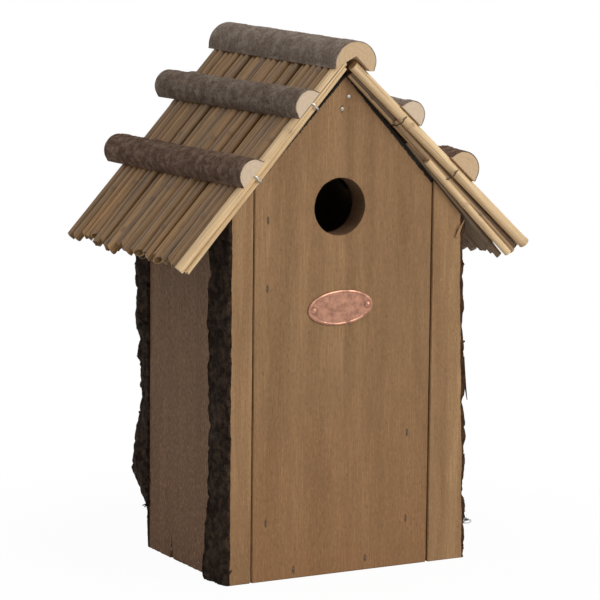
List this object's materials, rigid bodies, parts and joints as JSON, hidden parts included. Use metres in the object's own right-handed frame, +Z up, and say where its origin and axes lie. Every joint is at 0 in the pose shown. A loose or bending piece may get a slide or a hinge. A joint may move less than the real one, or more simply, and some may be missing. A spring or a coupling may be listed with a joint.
{
  "type": "thatched nest box",
  "caption": "Wooden nest box with a round entrance, bark-edged boards, a hooked side door and a reed-thatched gable roof held by half-log battens.",
  "frame": {"origin": "under the middle of the whole part, on the surface that it stands on", "axes": "+Z up; -Y towards the viewer, out of the entrance hole; +X to the right of the front"},
  "size_m": [0.2248, 0.168, 0.3024],
  "materials": {
    "front_wood": "matt",
    "strip_wood": "matt",
    "back_wood": "matt",
    "wall_wood": "matt",
    "inner_wood": "matt",
    "reed": "satin",
    "grey_bark": "matt",
    "brown_bark": "matt",
    "wire": "matt",
    "copper": "satin",
    "nail_steel": "matt",
    "latch_steel": "satin"
  },
  "bodies": {
    "root": {"front_panel": "front_wood", "front_strip_left": "strip_wood", "front_strip_right": "strip_wood", "back_board": "back_wood", "left_wall": "wall_wood", "floor_board": "inner_wood", "corner_post_left": "inner_wood", "corner_post_right": "inner_wood", "roof_board_left": "inner_wood", "roof_board_right": "inner_wood", "ridge_rail": "inner_wood", "thatch_left_lower": "reed", "thatch_left_upper": "reed", "thatch_right_lower": "reed", "thatch_right_upper": "reed", "binding_wire_left": "wire", "binding_wire_right": "wire", "ridge_log": "grey_bark", "batten_left_upper": "grey_bark", "batten_left_lower": "brown_bark", "batten_right_upper": "grey_bark", "batten_right_lower": "brown_bark", "name_plate": "copper", "plate_pins": "copper", "front_nails": "nail_steel", "strip_nails": "nail_steel", "wall_nails": "nail_steel", "floor_nails": "nail_steel", "roof_nails": "nail_steel", "log_nails": "nail_steel", "pivot_pins": "latch_steel", "catch_eye": "latch_steel"},
    "side_door": {"side_door": "wall_wood", "hook_eye": "latch_steel"},
    "hook": {"latch_hook": "latch_steel"}
  },
  "joints": [
    {"name": "door_swing", "type": "hinge", "parent": "root", "child": "side_door", "pos_m": [0.06572, 0, 0.17536], "axis": [0, -1, 0], "range_deg": [0, 45]},
    {"name": "hook_lift", "type": "hinge", "parent": "side_door", "child": "hook", "pos_m": [0.08192, -0.0343, 0.0195], "axis": [-1, 0, 0], "range_deg": [-21.5, 75]}
  ]
}
